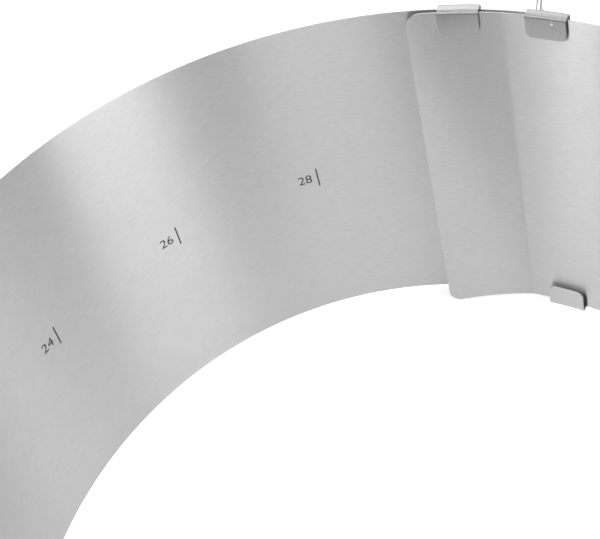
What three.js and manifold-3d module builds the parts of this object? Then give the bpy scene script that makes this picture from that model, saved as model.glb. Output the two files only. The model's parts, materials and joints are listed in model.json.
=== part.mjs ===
// Adjustable cake ring: a stainless strip wound into a ring with overlapping ends, held by folded clips.
// Millimetres, +Z up. The origin is on the ring's axis, level with the strip's lower edge.

import * as THREE from 'three';
import { mergeVertices } from 'three/addons/utils/BufferGeometryUtils.js';
import Module from 'manifold-3d';

// Strip
const ringDiameter = 295; // inside, as the ring is set here
const stripHeight = 150;
const stripThickness = 0.5;
const stripOverlap = 60.5; // along the outer layer, from over the inner end's edge to the outer end
const layerPitch = 1.6; // from the middle of one layer to the middle of the next
const innerEndAngle = 77.8; // degrees, where the inner end's edge stands
const endCornerRadius = 6;

// The strip bends wherever it is wound tighter, so it is made of rigid panels on upright flexing lines
const panelCount = 46;
const endPanelLength = 28.5; // the panels that carry clips
const panelGap = 0.3;
const panelFacets = 4;
const cornerFacets = 5;

// The inner end is free at the bottom and springs inwards there
const leanLength = 36;
const leanAtTop = 0.8;
const leanAtBottom = 8.4;
const leanPower = 1.1;

// Clips, folded from sheet
const clipSheet = 0.6;
const clipWidth = 15.2;
const topClipFlange = 8.7; // from the strip's edge to the flange's edge
const bottomClipFlange = 10.4;
const clipBend = 1.3; // inside radius
const clipCorner = 2.6; // radius of the flanges' free corners
const clipSeat = 0.5; // to the face and the edge that it is welded to
const topClipReach = 2.6; // from the middle of its own layer to the far flange
const bottomClipReach = 3.8; // the same, where the leaning end slides in as the ring is opened
const innerClipReach = 3.5; // the same, on the leaning end
const innerClipInset = 12.2; // from the inner end's edge
const outerClipInset = 0.5; // from the outer end's edge
const bendFacets = 4;
const clipFacets = 3;

// Pull handle, bent from wire
const wireDiameter = 2.5;
const wireFacets = 16;
const handleStandoff = 20; // to the middle of the grip
const handleDrop = 4; // from the strip's upper edge to the middle of the upper leg
const handleHeight = 90; // between the middles of the two legs
const handleBend = 7; // to the middle of the wire
const handleBendSteps = 6;
const handleTurn = 16; // degrees that its plane is turned from square to the strip
const handleInset = 12; // from the outer end's edge
const padDiameter = 6;
const padThickness = 0.8;
const padSeat = 0.3; // to the face that it is welded to

const turn = 2 * Math.PI;
const ringRadius = ringDiameter / 2;
const startRadius = ringRadius + stripThickness / 2 - layerPitch / 2;
const stripLength = turn * (startRadius + layerPitch / 2) + stripOverlap;

const wasm = await Module();
wasm.setup();

const steel = (color, roughness) => new THREE.MeshStandardMaterial({ color, roughness, metalness: 1 });

// A place on the strip: along it from the inner end, outwards from its middle, and up
function place(along, out, up) {
  const radius = Math.sqrt(startRadius ** 2 + layerPitch * along / Math.PI);
  const swept = (radius - startRadius) * turn / layerPitch;
  const angle = THREE.MathUtils.degToRad(innerEndAngle) - swept;
  const share = Math.max(0, 1 - along / leanLength) ** leanPower;
  const lean = share * THREE.MathUtils.lerp(leanAtBottom, leanAtTop, up / stripHeight);
  const reach = radius - lean + out;
  return new THREE.Vector3(reach * Math.cos(angle), reach * Math.sin(angle), up);
}

// A closed solid through sections that are rings of the same number of points
function loft(sections) {
  const count = sections[0].length;
  const points = sections.flat();
  const faces = [];
  for (let k = 0; k + 1 < sections.length; k++) {
    for (let i = 0; i < count; i++) {
      const a = k * count + i;
      const b = k * count + (i + 1) % count;
      faces.push(a, b, b + count, a, b + count, a + count);
    }
  }
  const last = points.length - count;
  for (const [a, b, c] of capFaces(sections[0])) faces.push(a, c, b);
  for (const [a, b, c] of capFaces(sections[sections.length - 1])) faces.push(last + a, last + b, last + c);
  const geometry = new THREE.BufferGeometry();
  geometry.setAttribute('position', new THREE.Float32BufferAttribute(points.flatMap((p) => p.toArray()), 3));
  geometry.setIndex(faces);
  return geometry;
}

// The triangles that close a section, which is nearly flat
function capFaces(section) {
  const x = new THREE.Vector3().subVectors(section[1], section[0]).normalize();
  const normal = new THREE.Vector3();
  section.forEach((p, i) => {
    const q = section[(i + 1) % section.length];
    normal.add(new THREE.Vector3().crossVectors(p, q));
  });
  normal.normalize();
  const y = new THREE.Vector3().crossVectors(normal, x).normalize();
  return THREE.ShapeUtils.triangulateShape(section.map((p) => new THREE.Vector2(p.dot(x), p.dot(y))), []);
}

// How far a rounded corner cuts in from an edge, at a distance from the end that it rounds
function cornerCut(distance, radius) {
  if (distance >= radius) return 0;
  return radius - Math.sqrt(radius ** 2 - (radius - distance) ** 2);
}

// Distances along a piece, closer together in its rounded corners
function stations(from, to, facets, startCorner, endCorner) {
  const list = [];
  const arc = (k) => 1 - Math.cos(Math.PI / 2 * k / cornerFacets);
  for (let k = 0; startCorner && k < cornerFacets; k++) list.push(from + startCorner * arc(k));
  const start = from + startCorner;
  const end = to - endCorner;
  for (let k = 0; k <= facets; k++) list.push(THREE.MathUtils.lerp(start, end, k / facets));
  for (let k = cornerFacets - 1; endCorner && k >= 0; k--) list.push(to - endCorner * arc(k));
  return list;
}

// One panel of the strip
function stripPanel(from, to, startCorner, endCorner) {
  return loft(stations(from, to, panelFacets, startCorner, endCorner).map((along) => {
    const cut = Math.max(cornerCut(along - from, startCorner), cornerCut(to - along, endCorner));
    const half = stripThickness / 2;
    return [
      place(along, -half, cut),
      place(along, half, cut),
      place(along, half, stripHeight - cut),
      place(along, -half, stripHeight - cut),
    ];
  }));
}

// A clip's folded section, as [out, up from the strip's edge]: over the edge, with a flange on both sides
function clipSection(inner, outer, flange) {
  const web = clipSeat;
  const outside = clipBend + clipSheet;
  const points = [];
  const corner = (out, up, radius, from, to) => {
    for (let k = 0; k <= bendFacets; k++) {
      const angle = THREE.MathUtils.degToRad(THREE.MathUtils.lerp(from, to, k / bendFacets));
      points.push([out + radius * Math.cos(angle), up + radius * Math.sin(angle)]);
    }
  };
  points.push([outer, -flange], [outer + clipSheet, -flange]);
  corner(outer - clipBend, web - clipBend, outside, 0, 90);
  corner(inner + clipBend, web - clipBend, outside, 90, 180);
  points.push([inner - clipSheet, -flange], [inner, -flange]);
  corner(inner + clipBend, web - clipBend, clipBend, 180, 90);
  corner(outer - clipBend, web - clipBend, clipBend, 90, 0);
  return points;
}

// A clip from one distance along the strip to another, over the upper edge or under the lower one
function clip(from, inner, outer, flange, overTop) {
  const to = from + clipWidth;
  return loft(stations(from, to, clipFacets, clipCorner, clipCorner).map((along) => {
    const cut = Math.max(cornerCut(along - from, clipCorner), cornerCut(to - along, clipCorner));
    const ring = clipSection(inner, outer, flange - cut).map(([out, up]) => (
      place(along, out, overTop ? stripHeight + up : -up)
    ));
    return overTop ? ring : ring.reverse();
  }));
}

function toSolid(geometry) {
  const bare = geometry.clone();
  bare.deleteAttribute('normal');
  bare.deleteAttribute('uv');
  const merged = mergeVertices(bare);
  return new wasm.Manifold(new wasm.Mesh({
    numProp: 3,
    vertProperties: new Float32Array(merged.attributes.position.array),
    triVerts: new Uint32Array(merged.index.array),
  }));
}

function toGeometry(solid) {
  const mesh = solid.getMesh();
  const geometry = new THREE.BufferGeometry();
  geometry.setAttribute('position', new THREE.BufferAttribute(mesh.vertProperties, 3));
  geometry.setIndex(new THREE.BufferAttribute(mesh.triVerts, 1));
  return geometry;
}

// The wire runs out from the upper clip, down the grip and back to the strip, with a weld pad at each end
function pullHandle() {
  const along = stripLength - handleInset;
  const foot = place(along, 0, 0);
  const square = Math.atan2(foot.y, foot.x);
  const plane = square + THREE.MathUtils.degToRad(handleTurn);
  const outwards = new THREE.Vector3(Math.cos(plane), Math.sin(plane), 0);
  const handleTop = stripHeight - handleDrop;
  const handleBottom = handleTop - handleHeight;
  const at = (out, up) => foot.clone().addScaledVector(outwards, out).setZ(up);
  const upperSeat = stripThickness / 2 + clipSeat + clipSheet + padSeat;
  const lowerSeat = stripThickness / 2 + padSeat;
  const upper = upperSeat + padThickness / 2;
  const lower = lowerSeat + padThickness / 2;
  const bend = (middleUp, from) => {
    const points = [];
    for (let k = 0; k <= handleBendSteps; k++) {
      const angle = THREE.MathUtils.degToRad(from - 90 * k / handleBendSteps);
      points.push(at(
        handleStandoff - handleBend + handleBend * Math.cos(angle),
        middleUp + handleBend * Math.sin(angle),
      ));
    }
    return points;
  };
  const corners = [
    at(upper, handleTop),
    ...bend(handleTop - handleBend, 90),
    ...bend(handleBottom + handleBend, 0),
    at(lower, handleBottom),
  ];
  const wire = sweep(corners, wireDiameter / 2);
  const pad = (seat, up) => {
    const disc = new THREE.CylinderGeometry(padDiameter / 2, padDiameter / 2, padThickness, wireFacets);
    disc.rotateZ(Math.PI / 2);
    disc.rotateZ(square);
    const middle = foot.clone().setLength(foot.length() + seat + padThickness / 2);
    disc.translate(middle.x, middle.y, up);
    return toSolid(disc);
  };
  const solid = toSolid(wire).add(pad(upperSeat, handleTop)).add(pad(lowerSeat, handleBottom));
  return toGeometry(solid);
}

// A round section carried along points, square to the mean direction at each
function sweep(points, radius) {
  const first = new THREE.Vector3().subVectors(points[1], points[0]).normalize();
  const side = new THREE.Vector3().crossVectors(first, new THREE.Vector3(0, 0, 1)).normalize();
  return loft(points.map((p, i) => {
    const before = points[Math.max(i - 1, 0)];
    const after = points[Math.min(i + 1, points.length - 1)];
    const ahead = new THREE.Vector3().subVectors(after, before).normalize();
    const across = new THREE.Vector3().crossVectors(ahead, side).normalize();
    return Array.from({ length: wireFacets }, (_, k) => {
      const angle = turn * k / wireFacets;
      return p.clone()
        .addScaledVector(side, radius * Math.cos(angle))
        .addScaledVector(across, radius * Math.sin(angle));
    });
  }));
}

const group = new THREE.Group();

function addPiece(name, geometry, material) {
  const mesh = new THREE.Mesh(geometry, material);
  mesh.name = name;
  group.add(mesh);
}

// Panels, numbered from the inner end
const innerPanels = panelCount - 2;
const panelLength = (stripLength - 2 * endPanelLength) / innerPanels;
for (let k = 0; k < panelCount; k++) {
  const first = k === 0;
  const last = k === panelCount - 1;
  const from = first ? 0 : endPanelLength + (k - 1) * panelLength + panelGap / 2;
  const to = last ? stripLength : endPanelLength + k * panelLength - panelGap / 2;
  const name = `strip_panel_${String(k + 1).padStart(2, '0')}`;
  const corner = (here) => (here ? endCornerRadius : 0);
  addPiece(name, stripPanel(from, to, corner(first), corner(last)), steel(0xc4c5c7, 0.3));
}

const seated = stripThickness / 2 + clipSeat;
const outerFrom = stripLength - outerClipInset - clipWidth;
const innerClip = clip(innerClipInset, -seated, innerClipReach, topClipFlange, true);
const topClip = clip(outerFrom, -topClipReach, seated, topClipFlange, true);
const bottomClip = clip(outerFrom, -bottomClipReach, seated, bottomClipFlange, false);
addPiece('inner_end_clip', innerClip, steel(0xbdbebf, 0.35));
addPiece('outer_end_top_clip', topClip, steel(0xbdbebf, 0.35));
addPiece('outer_end_bottom_clip', bottomClip, steel(0xbdbebf, 0.35));
addPiece('pull_handle', pullHandle(), steel(0xd6d7d8, 0.12));

export default group;
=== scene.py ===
"""An adjustable cake ring of satin stainless steel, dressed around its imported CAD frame."""

import json
import math

import bmesh
import bpy
import numpy as np
from mathutils import Matrix, Vector


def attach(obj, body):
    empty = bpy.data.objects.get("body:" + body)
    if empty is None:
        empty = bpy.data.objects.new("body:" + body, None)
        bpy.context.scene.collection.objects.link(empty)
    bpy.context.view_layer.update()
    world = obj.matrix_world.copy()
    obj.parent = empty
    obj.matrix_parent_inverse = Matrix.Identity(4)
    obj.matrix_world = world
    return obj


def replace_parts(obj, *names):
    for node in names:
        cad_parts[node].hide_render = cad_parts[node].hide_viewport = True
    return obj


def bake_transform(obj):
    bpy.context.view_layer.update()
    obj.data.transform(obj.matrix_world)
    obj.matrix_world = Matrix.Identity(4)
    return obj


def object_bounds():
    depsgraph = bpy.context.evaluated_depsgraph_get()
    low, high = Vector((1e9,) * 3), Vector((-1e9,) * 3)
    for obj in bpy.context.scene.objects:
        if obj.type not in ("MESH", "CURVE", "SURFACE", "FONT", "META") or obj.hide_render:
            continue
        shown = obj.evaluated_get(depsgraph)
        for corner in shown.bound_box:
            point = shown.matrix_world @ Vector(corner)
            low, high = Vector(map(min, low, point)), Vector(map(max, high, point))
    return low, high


MM = 0.001
MM_PER_CM = 10
TURN = 2 * math.pi
SHARP_ANGLE = math.radians(35)

# Strip, in mm
RING_DIAMETER = 295.0
STRIP_HEIGHT = 150.0
STRIP_THICKNESS = 0.5
STRIP_OVERLAP = 60.5
LAYER_PITCH = 1.6
INNER_END_ANGLE = math.radians(77.8)
END_CORNER = 6.0
END_PANEL = 28.5
PANEL_COUNT = 46
LEAN_LENGTH = 36.0
LEAN_TOP = 0.8
LEAN_BOTTOM = 8.4
LEAN_POWER = 1.1
START_RADIUS = RING_DIAMETER / 2 + STRIP_THICKNESS / 2 - LAYER_PITCH / 2
ONE_TURN = TURN * (START_RADIUS + LAYER_PITCH / 2)
STRIP_LENGTH = ONE_TURN + STRIP_OVERLAP
EDGE_BEVEL = 0.08
FACET_SAG = 0.02
STRIP_STEP = 0.75
CORNER_STEPS = 10
HEIGHT_STEPS = 10

# Clips, in mm: their bends are sharper than the plainer solids'
CLIP_SHEET = 0.6
CLIP_WIDTH = 15.2
TOP_CLIP_FLANGE = 8.7
BOTTOM_CLIP_FLANGE = 10.4
CLIP_BEND = 0.8
CLIP_CORNER = 2.6
CLIP_SEAT = 0.5
TOP_CLIP_REACH = 2.6
BOTTOM_CLIP_REACH = 3.8
INNER_CLIP_REACH = 3.5
INNER_CLIP_INSET = 12.2
OUTER_CLIP_INSET = 0.5
CLIP_BEVEL = 0.15
CLIP_END_TRIM = 0.9 * CLIP_BEVEL
CLIP_BEND_STEPS = 12
CLIP_STEPS = 14

# Pull handle and weld spot, in mm
WIRE_DIAMETER = 2.5
HANDLE_STANDOFF = 20.0
HANDLE_DROP = 4.0
HANDLE_HEIGHT = 90.0
HANDLE_BEND = 7.0
HANDLE_TURN = math.radians(16)
HANDLE_INSET = 12.0
PAD_DIAMETER = 6.0
PAD_THICKNESS = 0.8
PAD_SEAT = 0.3
PAD_ROUND = 0.35
PAD_ROUND_STEPS = 6
PAD_BACK = 0.5 * PAD_DIAMETER / 2
PAD_FACE = 0.55 * PAD_DIAMETER / 2
SPOT_ALONG = 9.9
SPOT_DROP = 1.6
SPOT_DIAMETER = 1.3
SPOT_PROUD = 0.15
SPOT_STEPS = 8
SPOT_CROWN = math.radians(85)
ROUND_SIDES = 32
WIRE_BEND_STEPS = 14

# Etched scale: a tick and a number for each ring diameter, given in cm, and the rest in mm
SCALE_FIRST = 16
SCALE_LAST = 30
SCALE_STEP = 2
TICK_TOP = 80.8
TICK_BOTTOM = 71.3
TICK_WIDTH = 0.6
NUMERAL_HEIGHT = 4.3
NUMERAL_BASE = 74.0
NUMERAL_GAP = 2.5
ETCH_PROUD = 0.03
TICK_ROWS = 4
NUMERAL_CURVE_STEPS = 4
SAME_POINT = 1e-5

# Finishes, in mm: real scratches, draw lines and etch pits are some hundredths of a millimetre wide, which
# is too fine to show, so all are drawn coarser; clouds are wide soft patches
SCRATCH_LENGTH = 4.5
SCRATCH_WIDTH = 0.45
SCRATCH_DETAIL = 4.0
SCRATCH_CONTRAST = 0.18
SCRATCH_RELIEF = 0.15
SCRATCH_DEPTH = 0.01
CLOUD_LENGTH = 40.0
CLOUD_WIDTH = 18.0
CLOUD_DETAIL = 2.0
CLOUD_CONTRAST = 0.05
GLOSS_SPREAD = 0.04
WIRE_ROUGHNESS = 0.21
WIRE_GRAIN = 1.11
MARK_GRAIN = 0.4
GRAIN_DETAIL = 2.0
NOISE_FALLOFF = 0.6
SHEEN_ACROSS = 0.25

# Camera, fitted to both rims: places in mm, reaches in metres, pixels of the 600 by 539 frame
FRAME_WIDTH = 600
FRAME_HEIGHT = 539
FOCAL_PIXELS = 1096.2
CENTRE_X = 283.9
CENTRE_Y = 118.6
CAMERA_PLACE = (22.88, -192.21, 376.4)
CAMERA_YAW = math.radians(7.6)
CAMERA_PITCH = math.radians(37.9)
CAMERA_ROLL = math.radians(-15.66)
SENSOR = 36.0
NEAREST = 0.01
FARTHEST = 20.0

# Studio: glows are radiances, and lengths are in metres
TABLE_GLOW = 0.5
TABLE_REACH = 4.0
SURROUND_GLOW = 0.42
LIGHT_DISTANCE = 1.5

# Soft boxes: azimuth, elevation, width and height in degrees as seen from the ring, and glow
SOFT_BOXES = (
    ("tall_box_left", -150, 33, 12, 56, 4.4),
    ("tall_box_front", -91, 33, 28, 56, 1.5),
    ("tall_box_right", -41, 33, 24, 56, 3.4),
    ("tall_box_side", 4, 33, 14, 56, 2.4),
    ("overhead_box", 95, 80, 20, 20, 4.0),
    ("back_box", 90, 38, 60, 22, 2.2),
)

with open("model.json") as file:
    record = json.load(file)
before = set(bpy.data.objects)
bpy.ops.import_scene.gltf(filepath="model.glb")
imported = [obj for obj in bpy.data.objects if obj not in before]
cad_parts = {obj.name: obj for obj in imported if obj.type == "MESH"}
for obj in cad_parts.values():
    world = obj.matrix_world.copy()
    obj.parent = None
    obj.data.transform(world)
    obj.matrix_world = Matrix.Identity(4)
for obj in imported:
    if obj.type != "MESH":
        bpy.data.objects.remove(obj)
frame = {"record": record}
cad_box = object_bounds()
PANELS = [f"strip_panel_{k:02d}" for k in range(1, PANEL_COUNT + 1)]
BODY_OF = {node: body for body, nodes in frame["record"]["behaviour"]["bodies"].items() for node in nodes}
INNER_END = BODY_OF["inner_end_clip"]
OUTER_END = BODY_OF["pull_handle"]


def linear(hex_colour):
    """An sRGB hex colour as linear RGBA."""
    parts = [int(hex_colour[k:k + 2], 16) / 255 for k in (1, 3, 5)]
    return [c / 12.92 if c <= 0.04045 else ((c + 0.055) / 1.055) ** 2.4 for c in parts] + [1.0]


def add(tree, kind, settings=None, links=None):
    """Adds a node with its settings, by socket name or attribute, and its incoming links."""
    node = tree.nodes.new(kind)
    for name, value in (settings or {}).items():
        if name in node.inputs:
            node.inputs[name].default_value = value
        else:
            setattr(node, name, value)
    for name, source in (links or {}).items():
        tree.links.new(source, node.inputs[name])
    return node


def new_material(name, settings):
    """A node material with one Principled shader, and that shader."""
    material = bpy.data.materials.new(name)
    material.use_nodes = True
    tree = material.node_tree
    tree.nodes.clear()
    shader = add(tree, "ShaderNodeBsdfPrincipled", settings)
    output = add(tree, "ShaderNodeOutputMaterial")
    tree.links.new(shader.outputs["BSDF"], output.inputs["Surface"])
    return material, tree, shader


def plan(along):
    """Radius and angle of the strip's middle: a spiral that grows by one pitch each turn, by arc length."""
    radius = np.sqrt(START_RADIUS**2 + LAYER_PITCH * along / math.pi)
    return radius, INNER_END_ANGLE - (radius - START_RADIUS) * TURN / LAYER_PITCH


def place(along, out, up):
    """Points on the strip in metres, from distances along it, outwards from its middle and up, in mm.

    The radius is the spiral's, less a lean that is a power of what is left of the leaning length and
    grows in a straight line from the upper edge to the lower one.
    """
    along, out, up = np.broadcast_arrays(np.asarray(along, float), out, up)
    radius, angle = plan(along)
    share = np.clip(1 - along / LEAN_LENGTH, 0, None) ** LEAN_POWER
    lean = share * (LEAN_BOTTOM + (LEAN_TOP - LEAN_BOTTOM) * up / STRIP_HEIGHT)
    reach = radius - lean + out
    return np.stack([reach * np.cos(angle), reach * np.sin(angle), up], -1) * MM


def new_piece(name, points, faces, material, uv=None):
    """A mesh object at the origin from points in metres and faces, smooth but for sharp edges.

    Its sheet map, where it has one, gives each point's place on the flat sheet in mm.
    """
    mesh = bpy.data.meshes.new(name)
    mesh.from_pydata(np.asarray(points, float).reshape(-1, 3).tolist(), [], faces)
    if uv is not None:
        layer = mesh.uv_layers.new(name="sheet")
        corner = np.zeros(len(mesh.loops), np.int32)
        mesh.loops.foreach_get("vertex_index", corner)
        layer.uv.foreach_set("vector", uv.reshape(-1, 2)[corner].astype(np.float32).ravel())
    mesh.validate()
    mesh.shade_smooth()
    mesh.set_sharp_from_angle(angle=SHARP_ANGLE)
    mesh.materials.append(material)
    piece = bpy.data.objects.new(name, mesh)
    bpy.context.scene.collection.objects.link(piece)
    return piece


def tube_faces(sections, count, flip=False):
    """Quads between sections of the same closed loop, and a cap at each end."""
    k, i = np.meshgrid(np.arange(sections - 1), np.arange(count), indexing="ij")
    a = (k * count + i).ravel()
    b = (k * count + (i + 1) % count).ravel()
    quads = np.stack([a, b, b + count, a + count], -1)
    caps = [list(range(count))[::-1], list(range((sections - 1) * count, sections * count))]
    if flip:
        return quads[:, ::-1].tolist() + [c[::-1] for c in caps]
    return quads.tolist() + caps


def corner_cut(distance, radius):
    """How far a round corner of that radius cuts in from an edge, at a distance from the end."""
    inside = np.clip(radius - distance, 0, radius)
    return radius - np.sqrt(radius**2 - inside**2)


# Materials
def brushed_stainless(name, hex_colour, roughness):
    """Rolled and brushed stainless sheet: fine scratches, which stretch the sheen across them.

    The scratches vary its shade and relief, and wide soft clouds its shade and gloss.
    The piece's map is in mm, along the grain and across it.
    """
    material, tree, shader = new_material(name, {
        "Metallic": 1.0, "Anisotropic": 1.0, "Anisotropic Rotation": SHEEN_ACROSS,
    })
    sheet = add(tree, "ShaderNodeUVMap", {"uv_map": "sheet"}).outputs["UV"]

    def streaks(length, width, detail):
        """Noise from 0 to 1 whose grains are that long along the sheet's grain, and that wide."""
        stretched = add(tree, "ShaderNodeMapping", {"Scale": (1 / length, 1 / width, 1)}, {"Vector": sheet})
        noise = add(tree, "ShaderNodeTexNoise",
                    {"Scale": 1.0, "Detail": detail, "Roughness": NOISE_FALLOFF},
                    {"Vector": stretched.outputs["Vector"]})
        return noise.outputs["Fac"]

    scratches = streaks(SCRATCH_LENGTH, SCRATCH_WIDTH, SCRATCH_DETAIL)
    clouds = streaks(CLOUD_LENGTH, CLOUD_WIDTH, CLOUD_DETAIL)
    grain = add(tree, "ShaderNodeMapRange", {"To Min": 1 - SCRATCH_CONTRAST, "To Max": 1 + SCRATCH_CONTRAST},
                {"Value": scratches})
    patches = add(tree, "ShaderNodeMapRange", {"To Min": 1 - CLOUD_CONTRAST, "To Max": 1 + CLOUD_CONTRAST},
                  {"Value": clouds})
    both = add(tree, "ShaderNodeMath", {"operation": "MULTIPLY"})
    tree.links.new(grain.outputs["Result"], both.inputs[0])
    tree.links.new(patches.outputs["Result"], both.inputs[1])
    coloured = add(tree, "ShaderNodeVectorMath", {"operation": "SCALE"}, {"Scale": both.outputs["Value"]})
    coloured.inputs[0].default_value = linear(hex_colour)[:3]
    tree.links.new(coloured.outputs["Vector"], shader.inputs["Base Color"])
    rough = add(tree, "ShaderNodeMapRange",
                {"To Min": roughness - GLOSS_SPREAD, "To Max": roughness + GLOSS_SPREAD}, {"Value": clouds})
    tree.links.new(rough.outputs["Result"], shader.inputs["Roughness"])
    bump = add(tree, "ShaderNodeBump", {"Strength": SCRATCH_RELIEF, "Distance": SCRATCH_DEPTH * MM},
               {"Height": scratches})
    tree.links.new(bump.outputs["Normal"], shader.inputs["Normal"])
    tangent = add(tree, "ShaderNodeTangent", {"direction_type": "UV_MAP", "uv_map": "sheet"})
    tree.links.new(tangent.outputs["Tangent"], shader.inputs["Tangent"])
    return material


def polished_wire():
    """Drawn and polished stainless wire: bright and nearly a mirror, its gloss faintly uneven."""
    material, tree, shader = new_material("polished_stainless_wire", {"Metallic": 1.0})
    spot = add(tree, "ShaderNodeTexCoord").outputs["Object"]
    grain = add(tree, "ShaderNodeTexNoise", {"Scale": 1 / (WIRE_GRAIN * MM), "Detail": GRAIN_DETAIL},
                {"Vector": spot})
    gloss = add(tree, "ShaderNodeMapRange",
                {"To Min": WIRE_ROUGHNESS - GLOSS_SPREAD, "To Max": WIRE_ROUGHNESS + GLOSS_SPREAD},
                {"Value": grain.outputs["Fac"]})
    tree.links.new(gloss.outputs["Result"], shader.inputs["Roughness"])
    shader.inputs["Base Color"].default_value = linear("#CFD0D1")
    return material


def etched_grey():
    """Electro-etched mark on stainless steel: a dull dark grey oxide that hardly shines."""
    material, tree, shader = new_material("etched_mark", {"Metallic": 0.3, "Roughness": 0.6})
    spot = add(tree, "ShaderNodeTexCoord").outputs["Object"]
    grain = add(tree, "ShaderNodeTexNoise", {"Scale": 1 / (MARK_GRAIN * MM), "Detail": GRAIN_DETAIL},
                {"Vector": spot})
    mix = add(tree, "ShaderNodeMix", {"data_type": "RGBA"}, {"Factor": grain.outputs["Fac"]})
    dark, light = (socket for socket in mix.inputs if socket.type == "RGBA")
    dark.default_value = linear("#27282A")
    light.default_value = linear("#414245")
    mixed = next(socket for socket in mix.outputs if socket.type == "RGBA")
    tree.links.new(mixed, shader.inputs["Base Color"])
    return material


STRIP_STEEL = brushed_stainless("satin_stainless_strip", "#C7C7C8", 0.40)
# The top clips' steel is a darker copy of the strip's: its colour is painted shade, for the dark tone of
# their flanges.
SHADED_CLIP_STEEL = brushed_stainless("satin_stainless_clip", "#B2B2B3", 0.38)
WIRE_STEEL = polished_wire()
ETCHED = etched_grey()


# Strip
def panel_edges():
    """Distances along the strip to the ends of all panels, in mm."""
    between = np.linspace(END_PANEL, STRIP_LENGTH - END_PANEL, PANEL_COUNT - 1)
    return np.concatenate([[0], between, [STRIP_LENGTH]])


EDGES = panel_edges()
MIDDLES = (EDGES[:-1] + EDGES[1:]) / 2
SPANS = np.concatenate([[0], MIDDLES[1:-1], [STRIP_LENGTH]])


def strip_stations(start, end):
    """Distances along one stretch of strip, closer together where an end corner is rounded."""
    arc = END_CORNER * (1 - np.cos(np.linspace(0, math.pi / 2, CORNER_STEPS + 1)))
    first, last = start == 0, end == STRIP_LENGTH
    low = start + (END_CORNER if first else 0)
    high = end - (END_CORNER if last else 0)
    middle = np.linspace(low, high, int((high - low) / STRIP_STEP) + 2)
    parts = ([arc[:-1]] if first else []) + [middle] + ([(STRIP_LENGTH - arc[:-1])[::-1]] if last else [])
    return np.concatenate(parts)


def strip_piece(number, start, end):
    """One stretch of the strip: a flat section with bevelled edges, carried along the spiral.

    The section goes up the outer face and down the inner one; near the strip's ends its upper and
    lower edges draw in along a quarter circle. The outer face lies in by what the plainer solids'
    facets lose on theirs.
    """
    along = strip_stations(start, end)
    cut = np.maximum(corner_cut(along, END_CORNER), corner_cut(STRIP_LENGTH - along, END_CORNER))
    half = STRIP_THICKNESS / 2
    share = np.linspace(0, 1, HEIGHT_STEPS + 1)
    low, high = cut + EDGE_BEVEL, STRIP_HEIGHT - cut - EDGE_BEVEL
    rise = low[:, None] + (high - low)[:, None] * share
    flat = half - EDGE_BEVEL
    outer = half - FACET_SAG
    edge = np.stack([cut, STRIP_HEIGHT - cut], -1)
    up = np.concatenate([rise, edge[:, 1:], edge[:, 1:], rise[:, ::-1], edge[:, :1], edge[:, :1]], 1)
    count = HEIGHT_STEPS + 1
    out = np.array([outer] * count + [flat, -flat] + [-half] * count + [-flat, flat])
    points = place(along[:, None], out, up)
    uv = np.stack([np.broadcast_to(along[:, None], up.shape), up], -1)
    faces = tube_faces(len(along), up.shape[1])
    return new_piece(f"strip_{number:02d}", points, faces, STRIP_STEEL, uv)


def bend_with(piece, number):
    """Bakes a piece's place into its points; the middles of the panels that it runs across are worked out but
    not used.
    """
    start, end = (tuple(place(MIDDLES[number + k], 0, STRIP_HEIGHT / 2)) for k in (-1, 0))
    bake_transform(piece)


def make_strip():
    """The whole strip: one stretch for each flexing line, from the middle of one panel to the next."""
    for number in range(1, PANEL_COUNT):
        piece = strip_piece(number, SPANS[number - 1], SPANS[number])
        bend_with(piece, number)
        stood = PANELS[number - 1:number + 1] if number == PANEL_COUNT - 1 else PANELS[number - 1:number]
        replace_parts(piece, *stood)


# Etched scale
def flat_text(words):
    """The outline of a word as flat triangles, in units of its numerals' height, from a plain sans."""
    curve = bpy.data.curves.new("scale_text", "FONT")
    curve.body = words
    curve.resolution_u = NUMERAL_CURVE_STEPS
    text = bpy.data.objects.new("scale_text", curve)
    bpy.context.scene.collection.objects.link(text)
    mesh = bpy.data.meshes.new_from_object(text.evaluated_get(bpy.context.evaluated_depsgraph_get()))
    bpy.data.objects.remove(text)
    flat = bmesh.new()
    flat.from_mesh(mesh)
    bmesh.ops.remove_doubles(flat, verts=flat.verts, dist=SAME_POINT)
    points = np.array([v.co[:] for v in flat.verts])
    low, high = points.min(0), points.max(0)
    scale = 1 / (high[1] - low[1])
    bmesh.ops.transform(flat, matrix=Matrix.Scale(scale, 4) @ Matrix.Translation((-low[0], -low[1], 0)),
                        verts=flat.verts)
    return flat, (high[0] - low[0]) * scale


def tick_mesh():
    """A flat upright bar one unit wide and high, cut across into rows."""
    flat = bmesh.new()
    rows = [[flat.verts.new((x, y / TICK_ROWS, 0)) for x in (-0.5, 0.5)] for y in range(TICK_ROWS + 1)]
    for a, b in zip(rows, rows[1:]):
        flat.faces.new((a[0], a[1], b[1], b[0]))
    return flat


def on_strip(flat, to_sheet, start, end):
    """The part of a flat outline between two distances along the strip, one unit thick, or None."""
    part = flat.copy()
    bmesh.ops.transform(part, matrix=to_sheet, verts=part.verts)
    for limit, away in ((start, -1), (end, 1)):
        everything = part.verts[:] + part.edges[:] + part.faces[:]
        bmesh.ops.bisect_plane(part, geom=everything, plane_co=(limit, 0, 0), plane_no=(away, 0, 0),
                               clear_outer=True)
    if not part.faces:
        return None
    bmesh.ops.recalc_face_normals(part, faces=part.faces)
    shape = bmesh.ops.extrude_face_region(part, geom=part.faces[:])
    raised = [v for v in shape["geom"] if isinstance(v, bmesh.types.BMVert)]
    bmesh.ops.translate(part, verts=raised, vec=(0, 0, 1))
    bmesh.ops.recalc_face_normals(part, faces=part.faces)
    part.verts.index_update()
    return part


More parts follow.
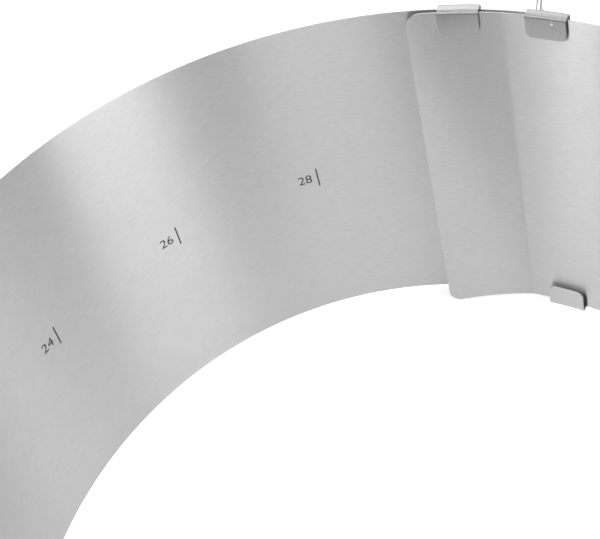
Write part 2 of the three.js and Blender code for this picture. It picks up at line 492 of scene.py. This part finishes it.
def etched_mark(name, flat, to_sheet, number):
    """What one stretch of strip carries of a mark, thin and just proud of the inner face."""
    part = on_strip(flat, to_sheet, SPANS[number - 1], SPANS[number])
    if part is None:
        return
    points = np.array([v.co[:] for v in part.verts])
    out = -STRIP_THICKNESS / 2 + ETCH_PROUD * (1 - 2 * points[:, 2])
    faces = [[v.index for v in f.verts] for f in part.faces]
    made = place(points[:, 0], out, points[:, 1])
    piece = new_piece(f"{name}_{number:02d}", made, faces, ETCHED)
    bend_with(piece, number)


def etched_marks():
    """A tick and a number for each diameter, cut where the strip's pieces meet.

    The inner end's edge points at a mark when the ring's inside is that wide, so a mark lies one turn
    along, and pi times the difference in diameter further or nearer.
    """
    tick = tick_mesh()
    for size in range(SCALE_FIRST, SCALE_LAST + SCALE_STEP, SCALE_STEP):
        middle = ONE_TURN + math.pi * (size * MM_PER_CM - RING_DIAMETER)
        words, width = flat_text(str(size))
        upright = Matrix.Diagonal((TICK_WIDTH, TICK_TOP - TICK_BOTTOM, 1, 1))
        tick_place = Matrix.Translation((middle, TICK_BOTTOM, 0)) @ upright
        left = middle - NUMERAL_GAP - width * NUMERAL_HEIGHT
        scaled = Matrix.Diagonal((NUMERAL_HEIGHT, NUMERAL_HEIGHT, 1, 1))
        number_place = Matrix.Translation((left, NUMERAL_BASE, 0)) @ scaled
        for number in range(1, PANEL_COUNT):
            etched_mark(f"scale_{size}_tick", tick, tick_place, number)
            etched_mark(f"scale_{size}_number", words, number_place, number)


# Clips
def clip_section(inner, outer, flange, trim):
    """A folded sheet's section as distances out and up from the strip's edge: over it, with two flanges.

    Quarter circles of the bend's radius, and of that radius and the sheet, join the flanges to the web.
    The flanges' edges are bevelled, and the trim is taken off every face.
    """
    bend = np.radians(np.linspace(0, 90, CLIP_BEND_STEPS + 1))
    outside = CLIP_BEND + CLIP_SHEET - trim
    inside = CLIP_BEND + trim
    up = CLIP_SEAT - CLIP_BEND
    side = np.array([trim, CLIP_BEVEL, CLIP_SHEET - CLIP_BEVEL, CLIP_SHEET - trim])
    end = -flange + np.array([CLIP_BEVEL, trim, trim, CLIP_BEVEL])

    def corner(middle, radius, angles):
        """An arc about a middle that lies that far out."""
        return np.stack([middle + radius * np.cos(angles), up + radius * np.sin(angles)], -1)

    return np.concatenate([
        np.stack([outer + side, end], -1),
        corner(outer - CLIP_BEND, outside, bend),
        corner(inner + CLIP_BEND, outside, bend + math.pi / 2),
        np.stack([inner - side[::-1], end], -1),
        corner(inner + CLIP_BEND, inside, (bend + math.pi / 2)[::-1]),
        corner(outer - CLIP_BEND, inside, bend[::-1]),
    ])


def folded_clip(name, start, inner, outer, flange, over_top, body):
    """A clip: its folded section carried along the strip, its flanges' free corners rounded.

    A top clip's grain runs over its fold, and its steel is a darker copy of the strip's, whose colour is
    painted shade for its flanges' dark tone. The bottom clip's grain runs along the strip and it takes the
    strip's steel, so it looks much as the strip does.
    """
    arc = CLIP_CORNER * (1 - np.cos(np.linspace(0, math.pi / 2, CORNER_STEPS + 1)))
    arc[1] = CLIP_BEVEL  # the end face's bevel stops here
    middle = np.linspace(CLIP_CORNER, CLIP_WIDTH - CLIP_CORNER, CLIP_STEPS)
    at = np.concatenate([arc[:-1], middle, (CLIP_WIDTH - arc[:-1])[::-1]])
    cut = np.maximum(corner_cut(at, CLIP_CORNER), corner_cut(CLIP_WIDTH - at, CLIP_CORNER))
    trim = np.zeros(len(at))
    trim[[0, -1]] = CLIP_END_TRIM
    sections = np.stack([clip_section(inner, outer, flange - c, t) for c, t in zip(cut, trim)])
    up = STRIP_HEIGHT + sections[..., 1] if over_top else -sections[..., 1]
    points = place(start + at[:, None], sections[..., 0], up)
    over = sections[..., 0] - (inner + outer) / 2
    unrolled = over - np.sign(over) * (sections[..., 1] - CLIP_SEAT - CLIP_SHEET)
    across = np.broadcast_to(at[:, None], up.shape)
    uv = np.stack([unrolled, across] if over_top else [across, unrolled], -1)
    # The top clips take the darker steel, whose colour is painted shade.
    steel = SHADED_CLIP_STEEL if over_top else STRIP_STEEL
    piece = new_piece(name, points, tube_faces(len(at), up.shape[1], not over_top), steel, uv)
    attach(piece, body)
    return piece


def make_clips():
    """The three clips, each in place of its plainer solid."""
    seated = STRIP_THICKNESS / 2 + CLIP_SEAT
    outer_start = STRIP_LENGTH - OUTER_CLIP_INSET - CLIP_WIDTH
    clips = (
        ("inner_end_clip", INNER_CLIP_INSET, -seated, INNER_CLIP_REACH, TOP_CLIP_FLANGE, True, INNER_END),
        ("outer_end_top_clip", outer_start, -TOP_CLIP_REACH, seated, TOP_CLIP_FLANGE, True, OUTER_END),
        ("outer_end_bottom_clip", outer_start, -BOTTOM_CLIP_REACH, seated, BOTTOM_CLIP_FLANGE, False,
         OUTER_END),
    )
    for node, *measures in clips:
        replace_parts(folded_clip(f"folded_{node}", *measures), node)


# Pull handle
def wire_sweep(path, radius):
    """A round section carried along a flat path, square to the mean direction at each point."""
    ahead = np.gradient(path, axis=0)
    ahead /= np.linalg.norm(ahead, axis=1, keepdims=True)
    side = np.cross(ahead[0], (0, 0, 1))
    side /= np.linalg.norm(side)
    across = np.cross(ahead, side)
    angle = np.linspace(0, TURN, ROUND_SIDES, endpoint=False)[:, None]
    return path[:, None] + radius * (side * np.cos(angle) + across[:, None] * np.sin(angle))


def boss(name, profile, seat, out):
    """A round boss: a profile of radius and height, from foot to crown, turned about an outward line."""
    side = np.cross((0, 0, 1), out)
    angle = np.linspace(0, TURN, ROUND_SIDES, endpoint=False)
    around = side * np.cos(angle)[:, None] + np.array([0, 0, 1.0]) * np.sin(angle)[:, None]
    points = seat + (profile[:, None, :1] * around + profile[:, None, 1:] * out) * MM
    piece = new_piece(name, points, tube_faces(len(profile), ROUND_SIDES), WIRE_STEEL)
    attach(piece, OUTER_END)


def pad_profile():
    """A weld pad: a disc whose outer rim is rounded by a quarter circle."""
    quarter = np.linspace(0, math.pi / 2, PAD_ROUND_STEPS + 1)[:, None]
    rim = PAD_DIAMETER / 2
    turned = PAD_ROUND * (np.hstack([np.cos(quarter), np.sin(quarter)]) - 1)
    round_rim = np.array([rim, PAD_THICKNESS]) + turned
    return np.concatenate([[[PAD_BACK, 0], [rim, 0]], round_rim, [[PAD_FACE, PAD_THICKNESS]]])


def make_handle():
    """A D of polished wire: out from the upper clip, round a bend, down the grip and back to the strip."""
    foot = place(STRIP_LENGTH - HANDLE_INSET, 0, 0)
    square = math.atan2(foot[1], foot[0])
    turned = square + HANDLE_TURN
    outwards = np.array([math.cos(turned), math.sin(turned), 0])
    top = STRIP_HEIGHT - HANDLE_DROP
    bottom = top - HANDLE_HEIGHT
    upper_seat = STRIP_THICKNESS / 2 + CLIP_SEAT + CLIP_SHEET + PAD_SEAT
    lower_seat = STRIP_THICKNESS / 2 + PAD_SEAT
    bend = np.radians(np.linspace(90, 0, WIRE_BEND_STEPS + 1))
    reach = HANDLE_STANDOFF - HANDLE_BEND
    upper = np.stack([reach + HANDLE_BEND * np.cos(bend), top - HANDLE_BEND + HANDLE_BEND * np.sin(bend)], -1)
    lower = np.stack([upper[::-1, 0], bottom + top - upper[::-1, 1]], -1)
    ends = [[upper_seat + PAD_THICKNESS / 2, top]], [[lower_seat + PAD_THICKNESS / 2, bottom]]
    flat = np.concatenate([ends[0], upper, lower, ends[1]])
    path = foot + (flat[:, :1] * outwards + flat[:, 1:] * np.array([0, 0, 1])) * MM
    points = wire_sweep(path, WIRE_DIAMETER / 2 * MM)
    wire = new_piece("pull_handle_wire", points, tube_faces(len(path), ROUND_SIDES, True), WIRE_STEEL)
    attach(wire, OUTER_END)
    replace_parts(wire, "pull_handle")
    radial = foot / np.linalg.norm(foot)
    for name, seat, up in (("upper", upper_seat, top), ("lower", lower_seat, bottom)):
        lifted = foot + (radial * seat + np.array([0, 0, up])) * MM
        boss(f"pull_handle_{name}_pad", pad_profile(), lifted, radial)


def make_weld_spot():
    """The shallow dome that a spot weld leaves on the upper clip's flange: a quarter ellipse, turned."""
    along = STRIP_LENGTH - OUTER_CLIP_INSET - CLIP_WIDTH + SPOT_ALONG
    seat = place(along, -TOP_CLIP_REACH - CLIP_SHEET, STRIP_HEIGHT - SPOT_DROP)
    inwards = -seat * (1, 1, 0)
    quarter = np.linspace(0, SPOT_CROWN, SPOT_STEPS + 1)
    profile = np.stack([SPOT_DIAMETER / 2 * np.cos(quarter), SPOT_PROUD * np.sin(quarter)], -1)
    boss("outer_end_top_clip_weld_spot", profile, seat, inwards / np.linalg.norm(inwards))


# Stage
def make_floor():
    """A white light table under the ring."""
    low = cad_box[0].z
    corners = [(x * TABLE_REACH, y * TABLE_REACH, low) for x, y in ((-1, -1), (1, -1), (1, 1), (-1, 1))]
    material, tree, shader = new_material("white_table", {
        "Roughness": 0.9, "Base Color": linear("#F4F4F4"),
        "Emission Color": (1, 1, 1, 1), "Emission Strength": TABLE_GLOW,
    })
    floor = new_piece("floor", corners, [(0, 1, 2, 3)], material)


def soft_box(name, azimuth, elevation, width, height, glow):
    """A soft box that faces the ring, by its place and spread in degrees, as bright as its glow."""
    data = bpy.data.lights.new(name, "AREA")
    data.shape = "RECTANGLE"
    data.size = 2 * LIGHT_DISTANCE * math.tan(math.radians(height / 2))
    data.size_y = 2 * LIGHT_DISTANCE * math.tan(math.radians(width / 2))
    data.energy = glow * math.pi * data.size * data.size_y
    light = bpy.data.objects.new(name, data)
    turned = Matrix.Rotation(math.radians(azimuth), 4, "Z")
    tipped = Matrix.Rotation(math.radians(90 - elevation), 4, "Y")
    light.matrix_world = turned @ tipped @ Matrix.Translation((0, 0, LIGHT_DISTANCE))
    bpy.context.scene.collection.objects.link(light)


def make_light():
    """Soft studio light: a dim surround, tall boxes that band the steel, one overhead and one behind."""
    world = bpy.data.worlds.new("studio")
    world.use_nodes = True
    bpy.context.scene.world = world
    background = world.node_tree.nodes["Background"]
    background.inputs["Color"].default_value = (1, 1, 1, 1)
    background.inputs["Strength"].default_value = SURROUND_GLOW
    for box in SOFT_BOXES:
        soft_box(*box)


def make_camera():
    """The camera: turned about the ring, pitched down, rolled, and shifted as the frame is cropped."""
    p, r = CAMERA_PITCH, CAMERA_ROLL
    ahead = Vector((0, math.cos(p), -math.sin(p)))
    level = Vector((1, 0, 0))
    upward = Vector((0, math.sin(p), math.cos(p)))
    right = math.cos(r) * level + math.sin(r) * upward
    top = -math.sin(r) * level + math.cos(r) * upward
    data = bpy.data.cameras.new("camera")
    data.sensor_fit = "HORIZONTAL"
    data.sensor_width = SENSOR
    data.lens = FOCAL_PIXELS / FRAME_WIDTH * SENSOR
    data.shift_x = (FRAME_WIDTH / 2 - CENTRE_X) / FRAME_WIDTH
    data.shift_y = (CENTRE_Y - FRAME_HEIGHT / 2) / FRAME_WIDTH
    data.clip_start = NEAREST
    data.clip_end = FARTHEST
    camera = bpy.data.objects.new("camera", data)
    turned = Matrix.Rotation(CAMERA_YAW, 4, "Z") @ Matrix((right, top, -ahead)).transposed().to_4x4()
    camera.matrix_world = Matrix.Translation(Vector(CAMERA_PLACE) * MM) @ turned
    bpy.context.scene.collection.objects.link(camera)
    bpy.context.scene.camera = camera


make_strip()
etched_marks()
make_clips()
make_handle()
make_weld_spot()
make_floor()
make_light()
make_camera()
bpy.context.scene.view_settings.view_transform = "Standard"
